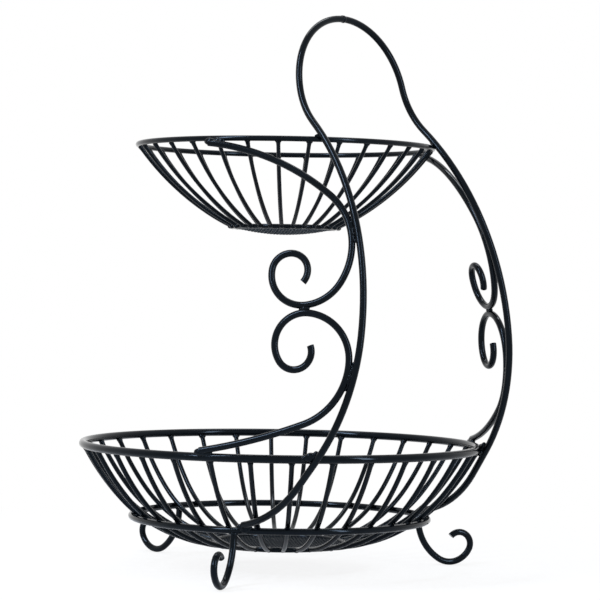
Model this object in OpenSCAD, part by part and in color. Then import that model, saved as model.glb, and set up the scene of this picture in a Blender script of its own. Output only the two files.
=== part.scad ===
// Two-tier wire fruit stand: two round baskets on three scrolled feet, joined by
// a pair of bowed side rods that meet in a carrying loop at the top.
// Origin: on the floor under the centre of the baskets. +Z is up, +Y is the back,
// the side that the rods bow out to. All sizes are in millimetres, along wire centre lines.

/* [Overall] */
// Height of the support ring's wire centre above the floor
foot_h = 39.5; // [34:0.5:50]
// Distance from the lower rim up to the upper rim
tier_rise = 226.5; // [205:0.5:245]
// Distance from the upper rim up to the top of the carrying loop
handle_rise = 93.5; // [84:0.5:110]

/* [Lower basket] */
// Diameter of the lower rim
lower_rim_d = 300; // [285:1:320]
// Thickness of the lower rim's wire
lower_rim_wire = 6; // [5:0.25:7]
// Depth of the lower basket, from its rim to its base ring
lower_depth = 74.5; // [66:0.5:84]
// Diameter of the lower basket's base ring
lower_base_d = 100; // [88:1:112]
// Thickness of the lower basket's base ring
lower_base_wire = 4; // [3:0.25:4.5]
// Thickness of the lower basket's ribs
lower_rib_wire = 3; // [2.5:0.1:3.4]
// Number of ribs in the lower basket
lower_rib_count = 32; // [28:4:36]
// Turn of the lower ribs about the centre line
lower_rib_turn = 3; // [0:0.1:11]
// Lean of a lower rib from the vertical where it leaves the rim
lower_rib_lean = 28; // [24:0.5:32]
// Slope of a lower rib above the horizontal where it meets the base ring
lower_rib_end_slope = 5; // [2:0.5:9]
// Bend radius of the lower part of a lower rib
lower_rib_turn_in_r = 109; // [95:1:125]

/* [Upper basket] */
// Diameter of the upper rim
upper_rim_d = 223.5; // [212:0.5:236]
// Thickness of the upper rim's wire
upper_rim_wire = 4; // [3.5:0.25:5]
// Depth of the upper basket, from its rim to its base ring
upper_depth = 61; // [54:0.5:68]
// Diameter of the upper basket's base ring
upper_base_d = 79; // [70:0.5:88]
// Thickness of the upper basket's base ring
upper_base_wire = 3.5; // [3:0.25:4]
// Thickness of the upper basket's ribs
upper_rib_wire = 2.5; // [2.1:0.1:2.9]
// Number of ribs in the upper basket
upper_rib_count = 31; // [28:1:36]
// Turn of the upper ribs about the centre line
upper_rib_turn = 10.2; // [0:0.1:11.5]
// Lean of an upper rib from the vertical where it leaves the rim
upper_rib_lean = 34.5; // [33:0.5:38]
// Slope of an upper rib above the horizontal where it meets the base ring
upper_rib_end_slope = 22.5; // [20:0.5:24]
// Bend radius of the lower part of an upper rib
upper_rib_turn_in_r = 150; // [120:1:170]

/* [Mesh discs] */
// Thickness of the mesh
mesh_t = 1.2; // [0.9:0.1:1.6]
// Width of the plain band round a mesh disc
mesh_band = 2; // [1.5:0.25:3]
// Width of the bars left between the openings of a mesh disc
mesh_bar = 2.2; // [1.6:0.1:3]
// Distance between openings in the lower mesh disc
lower_mesh_pitch = 8.4; // [8:0.2:11]
// Distance between openings in the upper mesh disc
upper_mesh_pitch = 6.6; // [6.2:0.2:9]
// How far the lower mesh disc sags at its middle
lower_mesh_sag = 3; // [2:0.5:4.5]
// How far the upper mesh disc sags at its middle
upper_mesh_sag = 5; // [3:0.5:7]

/* [Support ring and feet] */
// Diameter of the support ring
ring_d = 225; // [216:1:236]
// Thickness of the support ring's wire
ring_wire = 5; // [4.5:0.25:5.5]
// Thickness of the feet's wire
foot_wire = 5; // [4.5:0.25:5.5]
// Angle between the middle of the back and each of the two back feet
foot_spread = 62; // [56:1:68]
// Turn of a foot's long outward bend
foot_sweep = 58; // [55:1:62]
// Radius of a foot's outer bend
foot_toe_r = 17.5; // [16:0.5:19]
// Turn of a foot's outer bend
foot_toe_turn = 95; // [88:1:102]
// Radius of the curl at the end of a foot
foot_curl_r = 9.2; // [8:0.2:11]
// Turn of the curl at the end of a foot
foot_curl_turn = 165; // [140:5:175]

/* [Side rods and carrying loop] */
// Thickness of the side rods' wire
rod_wire = 5; // [4.5:0.25:5.5]
// Radius of the carrying loop
loop_r = 56; // [52:0.5:60]
// Forward lean of the carrying loop
loop_lean = 11.5; // [8:0.5:14]
// Outward splay of the side rods from the vertical
rod_splay = 7.5; // [6.5:0.25:8.5]
// Radius of the bend between the loop and the bowed stretch
neck_r = 60; // [50:1:70]
// Radius of the bowed stretch above its widest point
bow_r = 205; // [190:1:220]
// Height of the bow's widest point above the lower rim
bow_rise = 87; // [80:1:94]
// Bend radius of the tail, where it turns in under the basket
tail_r = 86; // [78:1:92]
// Slope from the vertical of the tail's end
tail_slope = 79; // [75:1:82]
// Place of the rod's end round the support ring's section, above the horizontal
ring_seat_angle = 58; // [57:1:72]

/* [Scrolls] */
// Thickness of the scrolls' wire
scroll_wire = 5; // [4.5:0.25:5.5]
// Angle from the middle of the back to the right upper scroll's end on the upper rim
upper_scroll_start = 74; // [70:0.5:78]
// The same for the left upper scroll, which the maker set closer to its rod
upper_left_start = 67; // [64:0.5:74]
// Place of an upper scroll's end round the rim's section, below the horizontal
upper_seat_angle = 45; // [35:1:60]
// Slope at which an upper scroll leaves the rim
upper_scroll_slope = 6; // [3:0.5:10]
// Outward lean of an upper scroll's plane
upper_scroll_lean = 15; // [12:0.5:18]
// Height above the lower rim at which the right upper scroll touches its side rod
upper_scroll_touch = 162; // [156:0.5:168]
// The same for the left upper scroll
upper_left_touch = 159; // [156:0.5:165]
// Radius of an upper scroll's shoulder, where it touches the rod
upper_shoulder_r = 51; // [46:0.5:56]
// Heading at which an upper scroll's shoulder ends, past the horizontal
upper_shoulder_end = 118; // [110:1:126]
// Bend radii of the right upper scroll's curl, from the shoulder to its end
upper_curl_r = [32, 23.5, 13];
// The same for the left upper scroll, which was bent tighter
upper_left_curl_r = [28, 20, 11];
// Bend angles of an upper scroll's curl, from the shoulder to its end
upper_curl_turn = [54, 104, 212];
// Angle from the middle of the back to the right lower scroll's end on the lower rim
lower_scroll_start = 67; // [63:0.5:71]
// The same for the left lower scroll, which the maker set closer to its rod
lower_left_start = 59; // [57:0.5:67]
// Place of a lower scroll's end round the rim's section, above the horizontal
lower_seat_angle = 55; // [45:1:70]
// Slope at which a lower scroll leaves the rim
lower_scroll_slope = 10; // [7:0.5:14]
// Outward lean of a lower scroll's plane
lower_scroll_lean = 3.5; // [1:0.5:7]
// Height above the lower rim at which a lower scroll touches its side rod
lower_scroll_touch = 58; // [55:0.5:63]
// Radius of a lower scroll's shoulder, where it touches the rod
lower_shoulder_r = 49; // [44:0.5:54]
// Heading at which a lower scroll's shoulder ends, past the horizontal
lower_shoulder_end = 88; // [86:1:94]
// Bend radii of a lower scroll's curl, from the shoulder to its end
lower_curl_r = [32.5, 22, 12.5];
// Bend angles of a lower scroll's curl, from the shoulder to its end
lower_curl_turn = [88, 128, 168];

/* [Welds] */
// Width of a rib's welded top, as a share of the rib's thickness
flare = 1.3; // [1.2:0.1:1.5]
// Length of a rib's welded top below the rim's wire
flare_len = 4; // [3:0.5:6]
// Gap left between wires where they are welded
weld_gap = 0.1; // [0.05:0.05:0.3]

/* [Hidden] */
$fn = 48;
rib_groups = [8, 8];
wire_black = [0.09, 0.10, 0.12];
// Each bend stops this far short of a joint, inside a ball that is wider by joint_swell
joint_cut = 0.05;
joint_swell = 0.04;
round_fn = 180;

// Directions and curves in a plane: headings are in degrees, and bends turn left
function aim(a) = [cos(a), sin(a)];
function left_of(a) = [-sin(a), cos(a)];
// Two bends that lead from s, at heading hs, to e, at heading he, the second of radius r
function two_bends(s, hs, e, he, r) =
  let (
    c = e + r * left_of(he),
    d = s - c,
    first = (r * r - d * d) / (2 * (d * left_of(hs) + r)),
    n = (s + first * left_of(hs) - c) / (first - r),
    join = atan2(-n[0], n[1])
  )
  [[first, join - hs], [r, he - join]];

// Heights, worked up from the floor
lower_r = lower_rim_d / 2;
upper_r = upper_rim_d / 2;
ring_r = ring_d / 2;
lower_base_r = lower_base_d / 2;
upper_base_r = upper_base_d / 2;
// A rib runs from under the rim to the outside of the base ring, X inwards and Y up
function rib_from(rim_wire, lean) = (rim_wire / 2 + weld_gap) * aim(lean - 90);
function rib_path(from, run, depth, base_wire, lean, slope, r) =
  two_bends(from, lean - 90, [run, -depth] - (base_wire / 2 + weld_gap) * aim(-slope), -slope, r);
lower_from = rib_from(lower_rim_wire, lower_rib_lean);
upper_from = rib_from(upper_rim_wire, upper_rib_lean);
lower_path = rib_path(lower_from, lower_r - lower_base_r, lower_depth, lower_base_wire,
  lower_rib_lean, lower_rib_end_slope, lower_rib_turn_in_r);
upper_path = rib_path(upper_from, upper_r - upper_base_r, upper_depth, upper_base_wire,
  upper_rib_lean, upper_rib_end_slope, upper_rib_turn_in_r);
// The support ring touches the outside of the lower ribs' second bend
turn_in_c = [lower_r - lower_base_r, -lower_depth]
  - (lower_base_wire / 2 + weld_gap) * aim(-lower_rib_end_slope)
  + lower_rib_turn_in_r * left_of(-lower_rib_end_slope);
ring_reach = lower_rib_turn_in_r + (lower_rib_wire + ring_wire) / 2 + weld_gap;
ring_run = lower_r - ring_r - turn_in_c[0];
ring_drop = sqrt(ring_reach * ring_reach - ring_run * ring_run) - turn_in_c[1];
lower_z = foot_h + ring_drop;
upper_z = lower_z + tier_rise;
top_z = upper_z + handle_rise;

// Side rod: half a loop, then a flat bent wire in a plane that splays outwards.
// In that plane X runs down along the splay and Y runs to the back.
loop_turn = atan(tan(90 - rod_splay) / cos(loop_lean));
loop_drop = loop_r * (1 - cos(loop_turn));
side_x = loop_r * sin(loop_turn);
side_z = top_z - loop_drop * cos(loop_lean);
neck_start = asin(sin(loop_turn) * sin(loop_lean));
splay_dir = [sin(rod_splay), 0, -cos(rod_splay)];
function run_at(z) = (side_z - z) / cos(rod_splay);
function side_at(z) = side_x + (side_z - z) * tan(rod_splay);
// How far back the rod's centre lies where it passes outside a rim at slope a
function back_at(z, rim_r, rim_wire, a) =
  let (
    reach = (rim_wire + rod_wire) / 2 + weld_gap,
    l = side_at(z),
    guess = sqrt(rim_r * rim_r - l * l),
    flat = (guess * tan(a) + l * sin(rod_splay)) / (rim_r * cos(rod_splay)),
    rho = rim_r + reach * sqrt(1 + flat * flat)
  )
  sqrt(rho * rho - l * l);
bow_run = run_at(lower_z + bow_rise);
// The bow passes both rims: [slope at upper rim, slope at lower rim, widest point, lower radius]
function bow(up_slope, low_slope, passes) =
  let (
    up_run = run_at(upper_z) - bow_run,
    low_run = run_at(lower_z) - bow_run,
    up_back = back_at(upper_z, upper_r, upper_rim_wire, up_slope),
    low_back = back_at(lower_z, lower_r, lower_rim_wire, low_slope),
    widest = up_back + bow_r - sqrt(bow_r * bow_r - up_run * up_run),
    dip = widest - low_back,
    low_r = (low_run * low_run + dip * dip) / (2 * dip),
    up_new = asin(-up_run / bow_r),
    low_new = -asin(low_run / low_r)
  )
  passes == 0 ? [up_new, low_new, widest, low_r] : bow(up_new, low_new, passes - 1);
bow_fit = bow(35, -30, 4);
bow_back = bow_fit[2];
low_bow_r = bow_fit[3];
bow_c = [bow_run, bow_back - bow_r];
// Neck: a bend of neck_r between the loop's end and the bow
neck_c = [
  -neck_r * sin(neck_start),
  bow_c[1] + sqrt(pow(neck_r + bow_r, 2) - pow(bow_c[0] + neck_r * sin(neck_start), 2))
];
neck_back = neck_c[1] - neck_r * cos(neck_start);
neck_way = (neck_c - bow_c) / (neck_r + bow_r);
neck_slope = atan2(-neck_way[0], neck_way[1]);
// Tail: from the lower rim in a slow bend and a quick one to the seat on the support ring
seat_reach = (ring_wire + rod_wire) / 2 + weld_gap;
seat_z = foot_h + seat_reach * sin(ring_seat_angle);
seat_r = ring_r + seat_reach * cos(ring_seat_angle);
seat_back = sqrt(seat_r * seat_r - side_at(seat_z) * side_at(seat_z));
low_slope = -bow_fit[1];
low_back = bow_back - low_bow_r * (1 - cos(low_slope));
tail = two_bends([run_at(lower_z), -low_back], low_slope,
  [run_at(seat_z), -seat_back], tail_slope, tail_r);
loop_back = neck_back - loop_drop * sin(loop_lean);
loop_path = [[loop_r, loop_turn]];
side_path = [
  [neck_r, neck_slope - neck_start],
  [bow_r, -neck_slope],
  [low_bow_r, -low_slope],
  [tail[0][0], -tail[0][1]],
  [tail_r, -tail[1][1]]
];
// A point of the right side rod's bow at height z, and the rod's downward direction there
function bow_slope(z) =
  let (run = run_at(z) - bow_run) -asin(run / (run < 0 ? bow_r : low_bow_r));
function bow_point(z) =
  let (a = bow_slope(z), r = run_at(z) < bow_run ? bow_r : low_bow_r)
  [side_at(z), bow_back - r * (1 - cos(a)), z];
function bow_way(z) = let (a = bow_slope(z)) cos(a) * splay_dir + [0, sin(a), 0];

// Scroll: a flat bent wire from a rim, past the side rod, into its curl.
// down is 1 where it runs downwards and -1 where it runs upwards.
function turned(v, a) = [v[0] * cos(a) - v[1] * sin(a), v[0] * sin(a) + v[1] * cos(a)];
function scroll_plan(rim_r, rim_z, rim_wire, start, seat, slope, lean, touch, r, down) =
  let (
    reach = (rim_wire + scroll_wire) / 2 + weld_gap,
    from_r = rim_r + reach * cos(seat),
    from = [from_r * sin(start), from_r * cos(start), rim_z - down * reach * sin(seat)],
    rod = bow_point(touch),
    way = bow_way(touch),
    flat = [rod[0] - from[0], rod[1] - from[1], 0],
    near = flat / norm(flat),
    across = near - (near * way) * way,
    to = rod - ((rod_wire + scroll_wire) / 2 + weld_gap) * across / norm(across),
    v = abs(to[2] - from[2]) / cos(lean),
    step = [to[0] - from[0], to[1] - from[1]],
    side = v * sin(lean),
    u = sqrt(step * step - side * side),
    x = turned(step / norm(step), down * atan2(side, u)),
    out = [x[1], -x[0]],
    x_dir = [x[0], x[1], 0],
    y_dir = down * [out[0] * sin(lean), out[1] * sin(lean), -cos(lean)],
    pass = atan2(down * (way * y_dir), down * (way * x_dir))
  )
  [from, x_dir, y_dir, two_bends([0, 0], slope, [u, v], pass, r)];
function scroll_path(plan, slope, shoulder_r, shoulder_end, curl_r, curl_turn) =
  let (first = plan[3][0])
  concat(
    [first, [shoulder_r, shoulder_end - slope - first[1]]],
    [for (i = [0 : len(curl_r) - 1]) [curl_r[i], curl_turn[i]]]
  );
function upper_plan(start, touch) =
  scroll_plan(upper_r, upper_z, upper_rim_wire, start, upper_seat_angle, upper_scroll_slope,
    upper_scroll_lean, lower_z + touch, upper_shoulder_r, 1);
function lower_plan(start) =
  scroll_plan(lower_r, lower_z, lower_rim_wire, start, lower_seat_angle, lower_scroll_slope,
    lower_scroll_lean, lower_z + lower_scroll_touch, lower_shoulder_r, -1);

// Foot: X runs down from the ring, Y runs outwards
foot_drop = ring_wire / 2 + weld_gap;
foot_sweep_r = (foot_h - foot_drop - foot_wire / 2 - foot_toe_r * (1 - sin(foot_sweep)))
  / sin(foot_sweep);
foot_path = [
  [foot_sweep_r, foot_sweep], [foot_toe_r, foot_toe_turn], [foot_curl_r, foot_curl_turn]
];

// The ball that joins two bends, with its poles inside them
module joint(d) rotate([0, 90, 0]) sphere(d = d + joint_swell);

// A round wire bent to a list of [radius, angle] bends, from the origin along X.
// Positive angles bend it towards Y.
module wire(path, d, i = 0) {
  if (i < len(path)) {
    r = path[i][0];
    a = path[i][1];
    cut = joint_cut / r * 180 / PI;
    mirror([0, a < 0 ? 1 : 0, 0])
      translate([0, r, 0])
        rotate([0, 0, cut - 90])
          rotate_extrude(angle = abs(a) - 2 * cut, $fn = round_fn)
            translate([r, 0]) circle(d = d);
    translate([r * sin(abs(a)), sign(a) * r * (1 - cos(a)), 0])
      rotate([0, 0, a]) {
        if (i < len(path) - 1) joint(d);
        wire(path, d, i + 1);
      }
  }
}

module ring(r, d) {
  rotate_extrude($fn = round_fn) translate([r, 0]) circle(d = d);
}

// Places its children in the plane through o whose axes are x and y
module in_plane(o, x, y) {
  z = cross(x, y);
  multmatrix([
    [x[0], y[0], z[0], o[0]],
    [x[1], y[1], z[1], o[1]],
    [x[2], y[2], z[2], o[2]],
    [0, 0, 0, 1]
  ]) children();
}

// One rib, with its top flared where it is welded under the rim
module rib(rim_r, from, lean, path, d) {
  translate([rim_r, 0, 0]) rotate([90, 0, 180]) translate([from[0], from[1], 0])
    rotate([0, 0, lean - 90]) {
      wire(path, d);
      rotate([0, 90, 0]) cylinder(d1 = d * flare, d2 = d * 0.9, h = flare_len);
    }
}

// The ribs of one group: each group is a sector of the basket
module rib_group(g, groups, count, turn) {
  for (k = [0 : count - 1])
    if (floor(k * groups / count) == g - 1)
      rotate([0, 0, 90 + turn + k * 360 / count]) children();
}

module lower_ribs(g) {
  color(wire_black) translate([0, 0, lower_z])
    rib_group(g, rib_groups[0], lower_rib_count, lower_rib_turn)
      rib(lower_r, lower_from, lower_rib_lean, lower_path, lower_rib_wire);
}

module upper_ribs(g) {
  color(wire_black) translate([0, 0, upper_z])
    rib_group(g, rib_groups[1], upper_rib_count, upper_rib_turn)
      rib(upper_r, upper_from, upper_rib_lean, upper_path, upper_rib_wire);
}

module lower_rim() {
  color(wire_black) translate([0, 0, lower_z]) ring(lower_r, lower_rim_wire);
}

module upper_rim() {
  color(wire_black) translate([0, 0, upper_z]) ring(upper_r, upper_rim_wire);
}

module lower_base_ring() {
  color(wire_black) translate([0, 0, lower_z - lower_depth]) ring(lower_base_r, lower_base_wire);
}

module upper_base_ring() {
  color(wire_black) translate([0, 0, upper_z - upper_depth]) ring(upper_base_r, upper_base_wire);
}

// A disc of square mesh set on the diagonal, that sags as a shallow cap inside its base ring
module mesh_disc(base_r, base_wire, sag, pitch) {
  r = base_r - base_wire / 2 - weld_gap;
  cap_r = (r * r + sag * sag) / (2 * sag);
  half = ceil(r / pitch);
  hole = pitch - mesh_bar;
  far = r - mesh_band - hole / sqrt(2);
  difference() {
    intersection() {
      translate([0, 0, cap_r]) difference() {
        sphere(r = cap_r + mesh_t / 2, $fn = round_fn);
        sphere(r = cap_r - mesh_t / 2, $fn = round_fn);
      }
      translate([0, 0, -mesh_t]) cylinder(r = r, h = sag + 2 * mesh_t, $fn = round_fn);
    }
    for (i = [-half : half], j = [-half : half])
      if (norm([i, j]) * pitch < far)
        rotate([0, 0, 45]) translate([i * pitch - hole / 2, j * pitch - hole / 2, -2 * mesh_t])
          cube([hole, hole, sag + 4 * mesh_t]);
  }
}

module lower_mesh() {
  color(wire_black) translate([0, 0, lower_z - lower_depth - lower_mesh_sag])
    mesh_disc(lower_base_r, lower_base_wire, lower_mesh_sag, lower_mesh_pitch);
}

module upper_mesh() {
  color(wire_black) translate([0, 0, upper_z - upper_depth - upper_mesh_sag])
    mesh_disc(upper_base_r, upper_base_wire, upper_mesh_sag, upper_mesh_pitch);
}

module support_ring() {
  color(wire_black) translate([0, 0, foot_h]) ring(ring_r, ring_wire);
}

// A foot, butted under the support ring at an angle from the middle of the back
module foot(angle) {
  color(wire_black) rotate([0, 0, angle])
    in_plane([0, ring_r, foot_h - foot_drop], [0, 0, -1], [0, 1, 0]) wire(foot_path, foot_wire);
}

module foot_front() foot(180);
module foot_left() foot(foot_spread);
module foot_right() foot(-foot_spread);

module side_rod() {
  color(wire_black) {
    in_plane([0, loop_back, top_z], [1, 0, 0], [0, sin(loop_lean), -cos(loop_lean)])
      wire(loop_path, rod_wire);
    in_plane([side_x, neck_back, side_z], splay_dir, [0, 1, 0]) rotate([0, 0, neck_start]) {
      joint(rod_wire);
      wire(side_path, rod_wire);
    }
  }
}

module side_rod_right() side_rod();
module side_rod_left() mirror([1, 0, 0]) side_rod();

module scroll(plan, slope, shoulder_r, shoulder_end, curl_r, curl_turn) {
  color(wire_black) in_plane(plan[0], plan[1], plan[2]) rotate([0, 0, slope])
    wire(scroll_path(plan, slope, shoulder_r, shoulder_end, curl_r, curl_turn), scroll_wire);
}

module upper_scroll(start, touch, curl_r) {
  scroll(upper_plan(start, touch), upper_scroll_slope, upper_shoulder_r, upper_shoulder_end,
    curl_r, upper_curl_turn);
}

module lower_scroll(start) {
  scroll(lower_plan(start), lower_scroll_slope, lower_shoulder_r, lower_shoulder_end,
    lower_curl_r, lower_curl_turn);
}

module upper_scroll_right() upper_scroll(upper_scroll_start, upper_scroll_touch, upper_curl_r);
module upper_scroll_left() mirror([1, 0, 0])
  upper_scroll(upper_left_start, upper_left_touch, upper_left_curl_r);
module lower_scroll_right() lower_scroll(lower_scroll_start);
module lower_scroll_left() mirror([1, 0, 0]) lower_scroll(lower_left_start);

lower_rim();
lower_base_ring();
lower_mesh();
for (g = [1 : rib_groups[0]])
  lower_ribs(g);
upper_rim();
upper_base_ring();
upper_mesh();
for (g = [1 : rib_groups[1]])
  upper_ribs(g);
support_ring();
foot_front();
foot_left();
foot_right();
side_rod_left();
side_rod_right();
upper_scroll_left();
upper_scroll_right();
lower_scroll_left();
lower_scroll_right();
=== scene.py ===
import math
import random

import bmesh
import bpy
from mathutils import Matrix, Vector
from mathutils.bvhtree import BVHTree


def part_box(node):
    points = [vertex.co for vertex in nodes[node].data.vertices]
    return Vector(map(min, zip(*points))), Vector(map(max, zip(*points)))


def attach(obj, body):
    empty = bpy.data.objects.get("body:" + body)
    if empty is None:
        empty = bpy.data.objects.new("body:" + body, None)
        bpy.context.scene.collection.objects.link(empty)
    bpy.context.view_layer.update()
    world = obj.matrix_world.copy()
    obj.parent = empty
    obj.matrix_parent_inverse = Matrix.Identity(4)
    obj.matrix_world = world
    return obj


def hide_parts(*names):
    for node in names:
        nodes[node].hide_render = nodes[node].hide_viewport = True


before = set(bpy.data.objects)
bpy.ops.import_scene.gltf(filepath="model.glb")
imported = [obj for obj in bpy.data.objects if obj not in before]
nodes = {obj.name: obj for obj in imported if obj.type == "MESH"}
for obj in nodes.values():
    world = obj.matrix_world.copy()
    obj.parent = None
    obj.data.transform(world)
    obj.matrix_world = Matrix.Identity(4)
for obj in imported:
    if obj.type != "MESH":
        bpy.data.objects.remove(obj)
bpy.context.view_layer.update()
MM = 0.001

# ---------------------------------------------------------------------------
# Rims and base rings: drawn steel wire rolled to a hoop, butt-welded shut and
# powder coated. The lower rim is the heaviest wire of the stand.

COAT_BLACK = "#020305"
COAT_RUBBED = "#05080c"
SHEEN_BLUE = "#c4dcf2"
# Share of the usual surface reflection that the coat keeps, on the wires and on the two cloths; the
# lower cloth's smaller share is painted shade
COAT_SHINE, CLOTH_SHINE, SHADED_CLOTH_SHINE = 0.15, 0.7, 0.2


def linear(hex_colour):
    """sRGB hex to linear red, green, blue and alpha."""
    parts = [int(hex_colour[i : i + 2], 16) / 255 for i in (1, 3, 5)]
    return tuple(c / 12.92 if c <= 0.04045 else ((c + 0.055) / 1.055) ** 2.4 for c in parts) + (1,)


def add(tree, kind, settings=None, values=None, links=None):
    """Adds a node with its settings and socket values, and links its inputs."""
    n = tree.nodes.new(kind)
    for key, value in (settings or {}).items():
        setattr(n, key, value)
    for key, value in (values or {}).items():
        n.inputs[key].default_value = value
    for key, source in (links or {}).items():
        tree.links.new(source, n.inputs[key])
    return n


# Polyester powder coat baked on steel wire: a smooth satin black skin with a
# faint orange peel. It shows narrow cool highlights and hardly any colour.
powder_coat = bpy.data.materials.new("powder_coat_satin_black_on_wire")
powder_coat.use_nodes = True
tree = powder_coat.node_tree
tree.nodes.clear()
place = add(tree, "ShaderNodeTexCoord")
# Real orange peel is about 0.5 mm from crest to crest; it is drawn at 1.6 mm so that it shows
peel = add(
    tree,
    "ShaderNodeTexNoise",
    values={"Scale": 620.0, "Detail": 2.0, "Roughness": 0.45},
    links={"Vector": place.outputs["Object"]},
)
# Handling and uneven film thickness change the gloss over a few centimetres
film = add(
    tree,
    "ShaderNodeTexNoise",
    values={"Scale": 38.0, "Detail": 4.0, "Roughness": 0.6},
    links={"Vector": place.outputs["Object"]},
)
gloss = add(
    tree,
    "ShaderNodeMapRange",
    values={"From Min": 0.3, "From Max": 0.7, "To Min": 0.09, "To Max": 0.17},
    links={"Value": film.outputs["Fac"]},
)
tint = add(tree, "ShaderNodeValToRGB", links={"Fac": film.outputs["Fac"]})
tint.color_ramp.elements[0].position = 0.42
tint.color_ramp.elements[0].color = linear(COAT_BLACK)
tint.color_ramp.elements[1].position = 0.72
tint.color_ramp.elements[1].color = linear(COAT_RUBBED)
relief = add(
    tree,
    "ShaderNodeBump",
    values={"Strength": 0.02, "Distance": 0.0004},
    links={"Height": peel.outputs["Fac"]},
)
coat = add(
    tree,
    "ShaderNodeBsdfPrincipled",
    values={
        "Metallic": 0.0,
        "IOR": 1.5,
        "Specular IOR Level": COAT_SHINE,
        "Specular Tint": linear(SHEEN_BLUE),
    },
    links={
        "Base Color": tint.outputs["Color"],
        "Roughness": gloss.outputs["Result"],
        "Normal": relief.outputs["Normal"],
    },
)
add(tree, "ShaderNodeOutputMaterial", links={"Surface": coat.outputs["BSDF"]})

for name in ("lower_rim", "upper_rim", "lower_base_ring", "upper_base_ring"):
    nodes[name].data.materials.clear()
    nodes[name].data.materials.append(powder_coat)

# ---------------------------------------------------------------------------
# Ribs: straight-cut wire bent to the bowl's curve. Each is resistance welded
# under its rim and to the outside of its base ring, where the metal flows out.

# The two bowls in millimetres, with the turn of their first rib in degrees
LOWER = {"r": 150.0, "z": 94.14, "base_r": 50.0, "depth": 74.5, "count": 32, "turn": 3.0}
UPPER = {"r": 111.75, "z": 320.64, "base_r": 39.5, "depth": 61.0, "count": 31, "turn": 10.2}
# Wires as they measure in the photograph, a little over their solids
LOWER_RIB_WIRE, LOWER_RIB_COAT = 3.6, 0.3
UPPER_RIB_WIRE = 3.0


def coated_piece(bm, node):
    """Turns the wires in bm into the piece that stands for a node."""
    mesh = bpy.data.meshes.new(f"{node}_coated")
    bm.to_mesh(mesh)
    bm.free()
    mesh.shade_smooth()
    mesh.set_sharp_from_angle(angle=math.radians(40))
    mesh.materials.append(powder_coat)
    piece = bpy.data.objects.new(f"{node}_coated", mesh)
    bpy.context.scene.collection.objects.link(piece)
    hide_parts(node)
    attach(piece, "root")


for name in sorted(nodes):
    if name.startswith("lower_ribs_"):
        bm = bmesh.new()
        bm.from_mesh(nodes[name].data)
        bmesh.ops.remove_doubles(bm, verts=bm.verts, dist=1e-6)
        bm.normal_update()
        for vertex in bm.verts:
            vertex.co += vertex.normal * LOWER_RIB_COAT * MM
        coated_piece(bm, name)


def course(x, y, heading, bends, step):
    """Points and headings along bends (radius, degrees) that follow each other."""
    points = [(x, y, heading)]
    for radius, turn in bends:
        count = math.ceil(math.radians(turn) * radius / step)
        part = math.radians(turn) / count
        chord = 2 * radius * math.sin(part / 2)
        for _ in range(count):
            x += chord * math.cos(heading + part / 2)
            y += chord * math.sin(heading + part / 2)
            heading += part
            points.append((x, y, heading))
    return points


def drawn_rib(bm, points, angle, wire, sides=14):
    """One wire along the points, X inwards and Y up, in the upright plane at an angle."""
    out = Vector((math.cos(angle), math.sin(angle), 0))
    across = Vector((-out.y, out.x, 0))
    rings = []
    run = 0.0
    for i, (x, y, heading) in enumerate(points):
        if i > 0:
            run += math.hypot(x - points[i - 1][0], y - points[i - 1][1])
        # The shears leave the rim end a little spread
        radius = wire / 2 * max(1.0, 1.25 - 0.08 * run)
        centre = out * (UPPER["r"] - x) + Vector((0, 0, UPPER["z"] + y))
        normal = out * math.sin(heading) + Vector((0, 0, math.cos(heading)))
        ring = []
        for k in range(sides):
            a = 2 * math.pi * k / sides
            spot = centre + (normal * math.cos(a) + across * math.sin(a)) * radius
            ring.append(bm.verts.new(spot * MM))
        rings.append(ring)
    for near, far in zip(rings, rings[1:]):
        for k in range(sides):
            m = (k + 1) % sides
            bm.faces.new((near[k], near[m], far[m], far[k]))
    bm.faces.new(rings[0])
    bm.faces.new(rings[-1])


# The solids of the upper ribs miss their base ring and end 8 mm below it. These bend in to
# it, as the real ones do: from just under the rim, in two bends, each a radius and a turn
UPPER_LEAN = 36.0
UPPER_START = (1.23, -1.70)
UPPER_BENDS = ((192.3, 21.31), (150.0, 7.69))
RIB_STEP = 2.0
GROUPS = 8
upper_course = course(*UPPER_START, math.radians(UPPER_LEAN - 90), UPPER_BENDS, RIB_STEP)
for group in range(GROUPS):
    bm = bmesh.new()
    for k in range(UPPER["count"]):
        if k * GROUPS // UPPER["count"] == group:
            angle = math.radians(90 + UPPER["turn"] + k * 360 / UPPER["count"])
            drawn_rib(bm, upper_course, angle, UPPER_RIB_WIRE)
    bmesh.ops.recalc_face_normals(bm, faces=bm.faces)
    coated_piece(bm, f"upper_ribs_{group + 1}")


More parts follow.
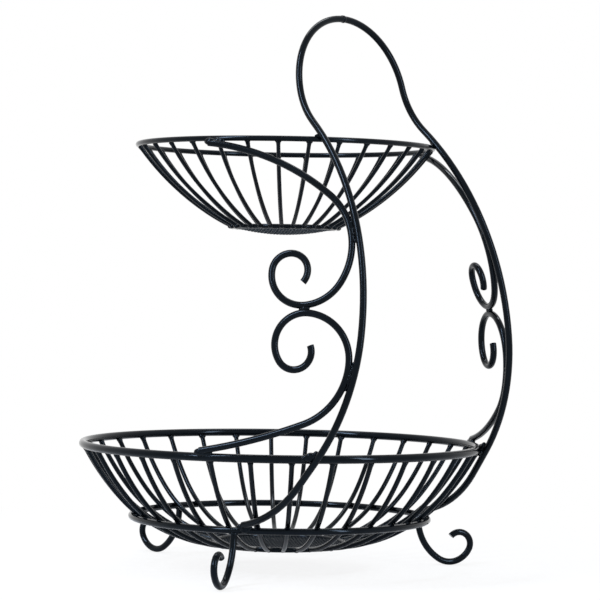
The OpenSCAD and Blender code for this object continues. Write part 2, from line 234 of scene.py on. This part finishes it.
def weld_tree(name, material):
    """Sets one small bead at each of Count places round a circle."""
    tree = bpy.data.node_groups.new(name, "GeometryNodeTree")
    face = tree.interface
    for label, kind in (
        ("Count", "NodeSocketInt"),
        ("Turn", "NodeSocketFloat"),
        ("Radius", "NodeSocketFloat"),
        ("Height", "NodeSocketFloat"),
        ("Bead", "NodeSocketVector"),
        ("Tip", "NodeSocketFloat"),
        ("Seed", "NodeSocketInt"),
    ):
        face.new_socket(label, in_out="INPUT", socket_type=kind)
    face.new_socket("Geometry", in_out="OUTPUT", socket_type="NodeSocketGeometry")
    given = add(tree, "NodeGroupInput")
    hoop = add(
        tree,
        "GeometryNodeMeshCircle",
        links={"Vertices": given.outputs["Count"], "Radius": given.outputs["Radius"]},
    )
    up = add(tree, "ShaderNodeCombineXYZ", links={"Z": given.outputs["Height"]})
    spin = add(tree, "ShaderNodeCombineXYZ", links={"Z": given.outputs["Turn"]})
    lifted = add(
        tree,
        "GeometryNodeTransform",
        links={
            "Geometry": hoop.outputs["Mesh"],
            "Translation": up.outputs["Vector"],
            "Rotation": spin.outputs["Vector"],
        },
    )
    bead = add(tree, "GeometryNodeMeshIcoSphere", values={"Radius": 1.0, "Subdivisions": 2})
    here = add(tree, "GeometryNodeInputPosition")
    parts = add(tree, "ShaderNodeSeparateXYZ", links={"Vector": here.outputs["Position"]})
    around = add(
        tree,
        "ShaderNodeMath",
        settings={"operation": "ARCTAN2"},
        links={0: parts.outputs["Y"], 1: parts.outputs["X"]},
    )
    facing = add(
        tree,
        "ShaderNodeCombineXYZ",
        links={"Y": given.outputs["Tip"], "Z": around.outputs["Value"]},
    )
    uneven = add(
        tree,
        "FunctionNodeRandomValue",
        settings={"data_type": "FLOAT"},
        links={"Seed": given.outputs["Seed"]},
    )
    uneven.inputs[2].default_value = 0.85
    uneven.inputs[3].default_value = 1.15
    size = add(
        tree,
        "ShaderNodeVectorMath",
        settings={"operation": "SCALE"},
        links={0: given.outputs["Bead"], "Scale": uneven.outputs[1]},
    )
    beads = add(
        tree,
        "GeometryNodeInstanceOnPoints",
        links={
            "Points": lifted.outputs["Geometry"],
            "Instance": bead.outputs["Mesh"],
            "Rotation": facing.outputs["Vector"],
            "Scale": size.outputs["Vector"],
        },
    )
    real = add(
        tree, "GeometryNodeRealizeInstances", links={"Geometry": beads.outputs["Instances"]}
    )
    smooth = add(tree, "GeometryNodeSetShadeSmooth", links={"Geometry": real.outputs["Geometry"]})
    coated = add(tree, "GeometryNodeSetMaterial", links={"Geometry": smooth.outputs["Geometry"]})
    coated.inputs["Material"].default_value = material
    add(tree, "NodeGroupOutput", links={"Geometry": coated.outputs["Geometry"]})
    return tree


def grown(name, tree, inputs):
    """Runs a geometry tree once and keeps its result as a plain mesh object."""
    start = bpy.data.objects.new(name, bpy.data.meshes.new(name))
    bpy.context.scene.collection.objects.link(start)
    step = start.modifiers.new("grow", "NODES")
    step.node_group = tree
    for item in tree.interface.items_tree:
        if item.in_out == "INPUT" and item.name in inputs:
            step[item.identifier] = inputs[item.name]
    shape = bpy.data.meshes.new_from_object(
        start.evaluated_get(bpy.context.evaluated_depsgraph_get())
    )
    start.modifiers.remove(step)
    start.data = shape
    return start


beads_round = weld_tree("beads_round_a_hoop", powder_coat)
seed = 11
for basket, label, rim_wire, rib_wire, base_wire, lean in (
    (LOWER, "lower", 6.0, LOWER_RIB_WIRE, 4.0, 28.0),
    (UPPER, "upper", 4.0, UPPER_RIB_WIRE, 3.5, UPPER_LEAN),
):
    turn = math.radians(90 + basket["turn"])
    # The bead under the rim is longest along the rim and follows the rib's lean
    drop = rim_wire / 2 + 0.3
    top = grown(
        f"{label}_rib_top_welds",
        beads_round,
        {
            "Count": basket["count"],
            "Turn": turn,
            "Radius": (basket["r"] - drop * math.sin(math.radians(lean))) * MM,
            "Height": (basket["z"] - drop * math.cos(math.radians(lean))) * MM,
            "Bead": (rib_wire * 0.55 * MM, rib_wire * 0.8 * MM, rib_wire * 0.5 * MM),
            "Tip": math.radians(lean),
            "Seed": seed,
        },
    )
    foot = grown(
        f"{label}_rib_foot_welds",
        beads_round,
        {
            "Count": basket["count"],
            "Turn": turn,
            "Radius": (basket["base_r"] + base_wire / 2 + 0.2) * MM,
            "Height": (basket["z"] - basket["depth"]) * MM,
            "Bead": (rib_wire * 0.6 * MM, rib_wire * 0.8 * MM, rib_wire * 0.56 * MM),
            "Tip": 0.0,
            "Seed": seed + 1,
        },
    )
    for piece in (top, foot):
        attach(piece, "root")
    seed += 2

# ---------------------------------------------------------------------------
# Mesh discs: fine plain-woven steel wire cloth, cut round, dished and welded
# inside each base ring with its weave on the diagonal, then powder coated.

cloth_coat = powder_coat.copy()
cloth_coat.name = "powder_coat_black_on_woven_wire_cloth"
for n in cloth_coat.node_tree.nodes:
    if n.type == "BSDF_PRINCIPLED":
        n.inputs["Specular IOR Level"].default_value = CLOTH_SHINE
    if n.type == "MAP_RANGE":
        n.inputs["To Min"].default_value, n.inputs["To Max"].default_value = 0.35, 0.5

# The lower disc takes a copy of the cloth coat that reflects less, so that it reads darker than the
# upper disc: painted shade
shaded_cloth_coat = cloth_coat.copy()
shaded_cloth_coat.name = "powder_coat_black_on_woven_wire_cloth_painted_shade"
for n in shaded_cloth_coat.node_tree.nodes:
    if n.type == "BSDF_PRINCIPLED":
        n.inputs["Specular IOR Level"].default_value = SHADED_CLOTH_SHINE


def cloth_tree(material):
    """Two families of wires that pass over and under each other on a shallow dish."""
    tree = bpy.data.node_groups.new("woven_dish", "GeometryNodeTree")
    face = tree.interface
    for label, kind in (
        ("Wires", "NodeSocketInt"),
        ("Pitch", "NodeSocketFloat"),
        ("Wire", "NodeSocketFloat"),
        ("Radius", "NodeSocketFloat"),
        ("Dish", "NodeSocketFloat"),
        ("Height", "NodeSocketFloat"),
        ("Turn", "NodeSocketFloat"),
    ):
        face.new_socket(label, in_out="INPUT", socket_type=kind)
    face.new_socket("Geometry", in_out="OUTPUT", socket_type="NodeSocketGeometry")
    given = add(tree, "NodeGroupInput")

    def maths(operation, a, b=None):
        n = add(tree, "ShaderNodeMath", settings={"operation": operation})
        for i, value in enumerate((a, b)):
            if value is None:
                continue
            if isinstance(value, (int, float)):
                n.inputs[i].default_value = value
            else:
                tree.links.new(value, n.inputs[i])
        return n.outputs["Value"]

    pitch = given.outputs["Pitch"]
    half = maths("MULTIPLY", maths("SUBTRACT", given.outputs["Wires"], 1), 0.5)
    reach = maths("MULTIPLY", half, pitch)
    families = []
    for sign in (1.0, -1.0):
        # One wire along Y, with four points to each wave
        points = maths("ADD", maths("MULTIPLY", half, 4.0), 1.0)
        step = maths("MULTIPLY", pitch, 0.5)
        low = maths("MULTIPLY", reach, -1.0)
        begin = add(tree, "ShaderNodeCombineXYZ", links={"Y": low})
        along = add(tree, "ShaderNodeCombineXYZ", links={"Y": step})
        wire = add(
            tree,
            "GeometryNodeMeshLine",
            links={
                "Count": points,
                "Start Location": begin.outputs["Vector"],
                "Offset": along.outputs["Vector"],
            },
        )
        side = add(tree, "ShaderNodeCombineXYZ", links={"X": low})
        across = add(tree, "ShaderNodeCombineXYZ", links={"X": pitch})
        row = add(
            tree,
            "GeometryNodeMeshLine",
            links={
                "Count": given.outputs["Wires"],
                "Start Location": side.outputs["Vector"],
                "Offset": across.outputs["Vector"],
            },
        )
        laid = add(
            tree,
            "GeometryNodeInstanceOnPoints",
            links={"Points": row.outputs["Mesh"], "Instance": wire.outputs["Mesh"]},
        )
        real = add(
            tree, "GeometryNodeRealizeInstances", links={"Geometry": laid.outputs["Instances"]}
        )
        here = add(tree, "GeometryNodeInputPosition")
        xyz = add(tree, "ShaderNodeSeparateXYZ", links={"Vector": here.outputs["Position"]})
        x, y = xyz.outputs["X"], xyz.outputs["Y"]
        # Waves: over at one crossing, under at the next
        wave = maths(
            "COSINE", maths("MULTIPLY", maths("DIVIDE", maths("ADD", x, y), pitch), math.pi)
        )
        lift = maths("MULTIPLY", maths("MULTIPLY", wave, given.outputs["Wire"]), 0.5 * sign)
        square = maths("ADD", maths("MULTIPLY", x, x), maths("MULTIPLY", y, y))
        radius2 = maths("MULTIPLY", given.outputs["Radius"], given.outputs["Radius"])
        share = maths("SUBTRACT", maths("DIVIDE", square, radius2), 1.0)
        dish = maths("MULTIPLY", share, given.outputs["Dish"])
        z = maths("ADD", maths("ADD", lift, dish), given.outputs["Height"])
        spot = add(tree, "ShaderNodeCombineXYZ", links={"X": x, "Y": y, "Z": z})
        shaped = add(
            tree,
            "GeometryNodeSetPosition",
            links={"Geometry": real.outputs["Geometry"], "Position": spot.outputs["Vector"]},
        )
        outside = maths("GREATER_THAN", square, radius2)
        cut = add(
            tree,
            "GeometryNodeDeleteGeometry",
            settings={"domain": "POINT"},
            links={"Geometry": shaped.outputs["Geometry"], "Selection": outside},
        )
        curve = add(tree, "GeometryNodeMeshToCurve", links={"Mesh": cut.outputs["Geometry"]})
        families.append((curve.outputs["Curve"], sign))
    joined = add(tree, "GeometryNodeJoinGeometry")
    for curve, sign in families:
        turn = maths("ADD", given.outputs["Turn"], 0.0 if sign > 0 else math.pi / 2)
        spin = add(tree, "ShaderNodeCombineXYZ", links={"Z": turn})
        turned = add(
            tree,
            "GeometryNodeTransform",
            links={"Geometry": curve, "Rotation": spin.outputs["Vector"]},
        )
        tree.links.new(turned.outputs["Geometry"], joined.inputs["Geometry"])
    thick = maths("MULTIPLY", given.outputs["Wire"], 0.5)
    section = add(
        tree, "GeometryNodeCurvePrimitiveCircle", values={"Resolution": 6}, links={"Radius": thick}
    )
    drawn = add(
        tree,
        "GeometryNodeCurveToMesh",
        values={"Fill Caps": True},
        links={"Curve": joined.outputs["Geometry"], "Profile Curve": section.outputs["Curve"]},
    )
    smooth = add(tree, "GeometryNodeSetShadeSmooth", links={"Geometry": drawn.outputs["Mesh"]})
    coated = add(tree, "GeometryNodeSetMaterial", links={"Geometry": smooth.outputs["Geometry"]})
    coated.inputs["Material"].default_value = material
    add(tree, "NodeGroupOutput", links={"Geometry": coated.outputs["Geometry"]})
    return tree


woven = cloth_tree(cloth_coat)
# Wire cloth with about ten wires to the inch, and wire a third of that pitch
for basket, label, sag, pitch in ((LOWER, "lower", 3.0, 2.4), (UPPER, "upper", 5.0, 2.4)):
    radius = basket["base_r"] - 0.6
    cloth = grown(
        f"{label}_wire_cloth",
        woven,
        {
            "Wires": 2 * math.ceil(radius / pitch) + 1,
            "Pitch": pitch * MM,
            "Wire": 0.75 * MM,
            "Radius": radius * MM,
            "Dish": sag * MM,
            "Height": (basket["z"] - basket["depth"]) * MM,
            "Turn": math.radians(-37.5),
        },
    )
    if label == "lower":
        # The lower disc's cloth takes the copy with painted shade
        cloth.data.materials[0] = shaded_cloth_coat
    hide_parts(f"{label}_mesh")
    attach(cloth, "root")

# ---------------------------------------------------------------------------
# Support ring: a hoop of 5 mm wire that the bowl of ribs sits in. Each rib is
# spot welded to the ring's inner shoulder.

nodes["support_ring"].data.materials.clear()
nodes["support_ring"].data.materials.append(powder_coat)

ring_spots = grown(
    "support_ring_rib_welds",
    beads_round,
    {
        "Count": LOWER["count"],
        "Turn": math.radians(90 + LOWER["turn"]),
        "Radius": 110.95 * MM,
        "Height": 41.5 * MM,
        "Bead": (1.2 * MM, 2.5 * MM, 1.3 * MM),
        "Tip": math.radians(38),
        "Seed": 23,
    },
)
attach(ring_spots, "root")

# ---------------------------------------------------------------------------
# Feet: three wires with a square-cut end butted up under the support ring and
# a sweep, a toe and a small curl. A hand-laid bead runs round each butt.

for name in ("foot_front", "foot_left", "foot_right"):
    nodes[name].data.materials.clear()
    nodes[name].data.materials.append(powder_coat)


def tree_of(node):
    """The node's surface, for finding where two wires meet."""
    mesh = nodes[node].data
    return BVHTree.FromPolygons(
        [v.co.copy() for v in mesh.vertices], [tuple(p.vertices) for p in mesh.polygons]
    )


def contact(a, b, reach):
    """Middle, direction and half length of the line along which wire a runs beside wire b."""
    mesh, other = nodes[a].data, tree_of(b)
    points = [v.co.copy() for v in mesh.vertices]
    near = min(points, key=lambda p: other.find_nearest(p)[3])
    draw = random.Random(5)
    pairs = []
    for face in mesh.polygons:
        corners = [points[i] for i in face.vertices]
        if min((c - near).length for c in corners) > 0.02:
            continue
        size = max((c - corners[0]).length for c in corners)
        for _ in range(max(3, int(size / 0.0006))):
            u, v = draw.random(), draw.random()
            if u + v > 1:
                u, v = 1 - u, 1 - v
            p = corners[0] + u * (corners[1] - corners[0]) + v * (corners[2] - corners[0])
            q, _, _, gap = other.find_nearest(p)
            if q is not None and gap < reach:
                pairs.append((p + q) / 2)
    if not pairs:
        return near, Vector((0, 0, 1)), 0.0
    middle = sum(pairs, Vector()) / len(pairs)
    way = max((p - middle for p in pairs), key=lambda d: d.length)
    if way.length < 1e-6:
        return middle, Vector((0, 0, 1)), 0.0
    axis = way.normalized()
    half = sorted(abs((p - middle).dot(axis)) for p in pairs)[int(len(pairs) * 0.95)]
    return middle, axis, half


WELD_GRAIN = 0.35 * MM


def bead(name, lumps):
    """A weld of overlapping lumps, each (centre, axis, length, width), melted into one skin."""
    bm = bmesh.new()
    draw = random.Random(len(name) * 7 + len(lumps))
    for centre, axis, length, width in lumps:
        turn = axis.to_track_quat("X", "Z").to_matrix().to_4x4()
        size = Matrix.Diagonal((length, width, width * draw.uniform(0.85, 1.05), 1))
        bmesh.ops.create_icosphere(
            bm, subdivisions=3, radius=1, matrix=Matrix.Translation(centre) @ turn @ size
        )
    mesh = bpy.data.meshes.new(name)
    bm.to_mesh(mesh)
    bm.free()
    piece = bpy.data.objects.new(name, mesh)
    bpy.context.scene.collection.objects.link(piece)
    melt = piece.modifiers.new("melt", "REMESH")
    melt.mode, melt.voxel_size, melt.use_smooth_shade = "VOXEL", WELD_GRAIN, True
    flow = piece.modifiers.new("flow", "SMOOTH")
    flow.factor, flow.iterations = 0.5, 4
    done = bpy.data.meshes.new_from_object(
        piece.evaluated_get(bpy.context.evaluated_depsgraph_get())
    )
    piece.modifiers.clear()
    piece.data = done
    done.materials.clear()
    done.materials.append(powder_coat)
    for face in done.polygons:
        face.use_smooth = True
    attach(piece, "root")
    return piece


for side in ("front", "left", "right"):
    low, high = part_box(f"foot_{side}")
    top_points = [v.co for v in nodes[f"foot_{side}"].data.vertices if v.co.z > high.z - 0.0005]
    butt = sum(top_points, Vector()) / len(top_points)
    out = Vector((butt.x, butt.y, 0)).normalized()
    along = Vector((-out.y, out.x, 0))
    lumps = [(butt + Vector((0, 0, 0.0004)), Vector((0, 0, 1)), 0.0022, 0.0030)]
    for step in (-1, 1):
        lumps.append((butt + along * 0.0018 * step + Vector((0, 0, 0.0006)), along, 0.0022, 0.0017))
        lumps.append((butt + out * 0.0016 * step + Vector((0, 0, 0.0004)), out, 0.0014, 0.0016))
    bead(f"foot_{side}_weld", lumps)

# ---------------------------------------------------------------------------
# Side rods: a mirrored pair of 5 mm wires, butt-welded at the top of the loop,
# bowed round the back of both rims and welded to each rim and the ring.

for name in ("side_rod_left", "side_rod_right"):
    nodes[name].data.materials.clear()
    nodes[name].data.materials.append(powder_coat)

# The two halves meet in a butt at the middle plane, above the back of the upper rim
summit = max((v.co for v in nodes["side_rod_right"].data.vertices), key=lambda c: c.z)
crown = Vector((0, summit.y, summit.z - 0.0025))
bead(
    "loop_top_weld",
    [
        (crown, Vector((1, 0, 0)), 0.0030, 0.00285),
        (crown + Vector((0.0012, 0, 0.0002)), Vector((1, 0, 0)), 0.0016, 0.0029),
    ],
)
for side in ("left", "right"):
    rod = f"side_rod_{side}"
    # The upper rim's weld is less than half the size of the lower one's
    for hoop, grow in (("upper_rim", 0.4), ("lower_rim", 1.0)):
        middle = contact(rod, hoop, 0.0007)[0]
        front = Vector((-middle.y, middle.x, 0)).normalized()
        front *= -1 if front.y > 0 else 1
        lift = Vector((0, 0, 1))
        near = [v.co for v in nodes[rod].data.vertices if (v.co - middle).length < 0.012]
        above = [c for c in near if c.z > middle.z]
        below = [c for c in near if c.z <= middle.z]
        up = sum(above, Vector()) / len(above) - sum(below, Vector()) / len(below)
        up.normalize()
        # Most of the metal lies in the corner above the rim, on the side of the front
        lumps = [
            (middle, up, 0.0034, 0.0026 * grow),
            (middle + (front * 0.0022 + lift * 0.0040) * grow, front, 0.0036, 0.0025 * grow),
            (middle + (front * 0.0024 + lift * 0.0016) * grow, front, 0.0040, 0.0025 * grow),
            (middle + (front * 0.0052 + lift * 0.0030) * grow, front, 0.0032, 0.0021 * grow),
            (middle + (front * 0.0074 + lift * 0.0018) * grow, front, 0.0024, 0.0018 * grow),
            (middle + (front * 0.0010 + up * 0.0050) * grow, up, 0.0034, 0.0022 * grow),
            (middle - front * 0.0016, front, 0.0026, 0.0018 * grow),
            (middle - up * 0.0024, front, 0.0022, 0.0020 * grow),
        ]
        bead(f"{rod}_{hoop}_weld", lumps)
    middle = contact(rod, "support_ring", 0.0009)[0]
    tangent = Vector((-middle.y, middle.x, 0)).normalized()
    bead(
        f"{rod}_end_weld",
        [
            (middle, tangent, 0.0044, 0.0025),
            (middle + tangent * 0.0030, tangent, 0.0028, 0.0022),
            (middle - tangent * 0.0032 + Vector((0, 0, 0.0006)), tangent, 0.0028, 0.0022),
            (middle - Vector((0, 0, 0.0022)), tangent, 0.0036, 0.0021),
        ],
    )

# ---------------------------------------------------------------------------
# Scrolls: four wires cold-bent on a former, each welded end-on to a rim, side
# by side with its rod, and back to back with the other scroll of its side.

for name in nodes:
    if name.endswith(("scroll_left", "scroll_right")):
        nodes[name].data.materials.clear()
        nodes[name].data.materials.append(powder_coat)

for side in ("left", "right"):
    for tier in ("upper", "lower"):
        scroll = f"{tier}_scroll_{side}"
        # Where the scroll runs beside the rod, the weld metal fills the groove unevenly
        middle, axis, half = contact(scroll, f"side_rod_{side}", 0.0010)
        draw = random.Random(31 if tier == "upper" else 47)
        reach = min(max(half, 0.003), 0.009)
        lumps = []
        steps = 11
        for i in range(steps):
            t = (2 * i / (steps - 1) - 1) * reach
            lumps.append(
                (
                    middle + axis * t + Vector([draw.uniform(-0.0007, 0.0007) for _ in range(3)]),
                    axis,
                    draw.uniform(0.0011, 0.0019),
                    draw.uniform(0.0014, 0.0025),
                )
            )
        bead(f"{scroll}_rod_weld", lumps)
        # The scroll's end lies against the rim, and the metal rounds off its cut face
        beside_rod = middle
        middle = contact(scroll, f"{tier}_rim", 0.0010)[0]
        level = [v.co for v in nodes[scroll].data.vertices if abs(v.co.z - middle.z) < 0.006]
        tip = max(level, key=lambda c: (c - beside_rod).length)
        cut_face = [c for c in level if (c - tip).length < 0.0052]
        cut = sum(cut_face, Vector()) / len(cut_face)
        rim_side = tree_of(f"{tier}_rim").find_nearest(cut)[0]
        tangent = Vector((-middle.y, middle.x, 0)).normalized()
        bead(
            f"{scroll}_rim_weld",
            [
                (middle, tangent, 0.0046, 0.0025),
                (middle + tangent * 0.0034, tangent, 0.0030, 0.0021),
                (middle - tangent * 0.0034, tangent, 0.0030, 0.0022),
                (cut.lerp(rim_side, 0.45), tangent, 0.0044, 0.0027),
            ],
        )
    middle, axis = contact(f"upper_scroll_{side}", f"lower_scroll_{side}", 0.0016)[:2]
    bead(
        f"scroll_pair_{side}_weld",
        [
            (middle, Vector((0, 0, 1)), 0.0024, 0.0025),
            (middle + axis * 0.0020, axis, 0.0022, 0.0019),
            (middle - axis * 0.0020, axis, 0.0021, 0.0020),
        ],
    )

# ---------------------------------------------------------------------------
# Studio: a plain pale floor that turns to the white of the backdrop a little
# way from the stand, three soft lamps, and the photograph's camera.

FLOOR_WHITE = "#f4f4f4"
floor_mesh = bpy.data.meshes.new("floor")
bm = bmesh.new()
bmesh.ops.create_grid(bm, x_segments=1, y_segments=1, size=6.0)
bm.to_mesh(floor_mesh)
bm.free()
floor = bpy.data.objects.new("floor", floor_mesh)
bpy.context.scene.collection.objects.link(floor)

paper = bpy.data.materials.new("matt_white_studio_paper")
paper.use_nodes = True
tree = paper.node_tree
tree.nodes.clear()
place = add(tree, "ShaderNodeTexCoord")
away = add(
    tree,
    "ShaderNodeVectorMath",
    settings={"operation": "LENGTH"},
    links={0: place.outputs["Object"]},
)
fade = add(
    tree,
    "ShaderNodeMapRange",
    settings={"interpolation_type": "SMOOTHSTEP"},
    values={"From Min": 0.18, "From Max": 0.5, "To Min": 0.0, "To Max": 1.0},
    links={"Value": away.outputs["Value"]},
)
matt = add(tree, "ShaderNodeBsdfDiffuse", values={"Color": linear(FLOOR_WHITE)})
glow = add(tree, "ShaderNodeEmission", values={"Color": (1, 1, 1, 1), "Strength": 1.0})
part = add(
    tree,
    "ShaderNodeMixShader",
    values={0: 0.82},
    links={1: matt.outputs["BSDF"], 2: glow.outputs["Emission"]},
)
seen = add(
    tree,
    "ShaderNodeMixShader",
    links={0: fade.outputs["Result"], 1: part.outputs["Shader"], 2: glow.outputs["Emission"]},
)
rays = add(tree, "ShaderNodeLightPath")
# The wires mirror the paper as it is lit under the stand, and white further off
mirrored = add(
    tree,
    "ShaderNodeMixShader",
    links={0: fade.outputs["Result"], 1: matt.outputs["BSDF"], 2: glow.outputs["Emission"]},
)
lit = add(
    tree,
    "ShaderNodeMixShader",
    links={
        0: rays.outputs["Is Glossy Ray"],
        1: matt.outputs["BSDF"],
        2: mirrored.outputs["Shader"],
    },
)
shown = add(
    tree,
    "ShaderNodeMath",
    settings={"operation": "MAXIMUM"},
    links={0: rays.outputs["Is Camera Ray"], 1: rays.outputs["Is Transmission Ray"]},
)
top = add(
    tree,
    "ShaderNodeMixShader",
    links={0: shown.outputs["Value"], 1: lit.outputs["Shader"], 2: seen.outputs["Shader"]},
)
add(tree, "ShaderNodeOutputMaterial", links={"Surface": top.outputs["Shader"]})
floor_mesh.materials.append(paper)

world = bpy.data.worlds.new("white_backdrop")
bpy.context.scene.world = world
world.use_nodes = True
tree = world.node_tree
tree.nodes.clear()
rays = add(tree, "ShaderNodeLightPath")
some = add(
    tree,
    "ShaderNodeMath",
    settings={"operation": "MAXIMUM"},
    links={0: rays.outputs["Is Camera Ray"], 1: rays.outputs["Is Glossy Ray"]},
)
shown = add(
    tree,
    "ShaderNodeMath",
    settings={"operation": "MAXIMUM"},
    links={0: some.outputs["Value"], 1: rays.outputs["Is Transmission Ray"]},
)
strength = add(
    tree,
    "ShaderNodeMapRange",
    values={"To Min": 0.5, "To Max": 1.0},
    links={"Value": shown.outputs["Value"]},
)
sky = add(
    tree,
    "ShaderNodeBackground",
    values={"Color": (1, 1, 1, 1)},
    links={"Strength": strength.outputs["Result"]},
)
add(tree, "ShaderNodeOutputWorld", links={"Surface": sky.outputs["Background"]})


def lamp(name, place, aim, wide, high, watts, colour):
    """A soft box at place that faces aim."""
    light = bpy.data.lights.new(name, "AREA")
    light.shape, light.size, light.size_y, light.energy = "RECTANGLE", wide, high, watts
    light.color = linear(colour)[:3]
    held = bpy.data.objects.new(name, light)
    held.location = place
    held.rotation_euler = (Vector(aim) - Vector(place)).to_track_quat("-Z", "Y").to_euler()
    bpy.context.scene.collection.objects.link(held)


# The camera looks along AHEAD, and RIGHT is its right-hand side, both level
TURN = math.radians(-44.5)
AHEAD = Vector((-math.cos(TURN), math.sin(TURN), 0))
RIGHT = Vector((math.sin(TURN), math.cos(TURN), 0))
UP = Vector((0, 0, 1))
middle = Vector((0, 0, 0.22))
lamp("key_softbox", middle - AHEAD * 0.9 - RIGHT * 1.0 + UP * 1.1, middle, 0.2, 1.3, 30, "#e4eeff")
lamp("fill_softbox", middle - AHEAD * 1.1 + RIGHT * 1.2 + UP * 0.5, middle, 0.2, 1.3, 15, "#eef4ff")
lamp("top_softbox", middle + AHEAD * 0.5 + UP * 1.5, middle, 1.2, 0.2, 8, "#ffffff")

camera = bpy.data.objects.new("camera", bpy.data.cameras.new("camera"))
bpy.context.scene.collection.objects.link(camera)
camera.data.sensor_width, camera.data.lens = 36.0, 144.23
camera.data.clip_start, camera.data.clip_end = 0.05, 30.0
# It is tipped 0.41 degrees down and rolled 0.95 degrees, as in the photograph
pitch, roll = -0.0072, -0.0165
forward = AHEAD * math.cos(pitch) + UP * math.sin(pitch)
level_up = RIGHT.cross(forward)
pose = Matrix(
    (
        RIGHT * math.cos(roll) - level_up * math.sin(roll),
        RIGHT * math.sin(roll) + level_up * math.cos(roll),
        -forward,
    )
).transposed().to_4x4()
pose.translation = Vector((1.2957, 1.2913, 0.2178))
camera.matrix_world = pose
bpy.context.scene.camera = camera
bpy.context.scene.view_settings.view_transform = "Standard"
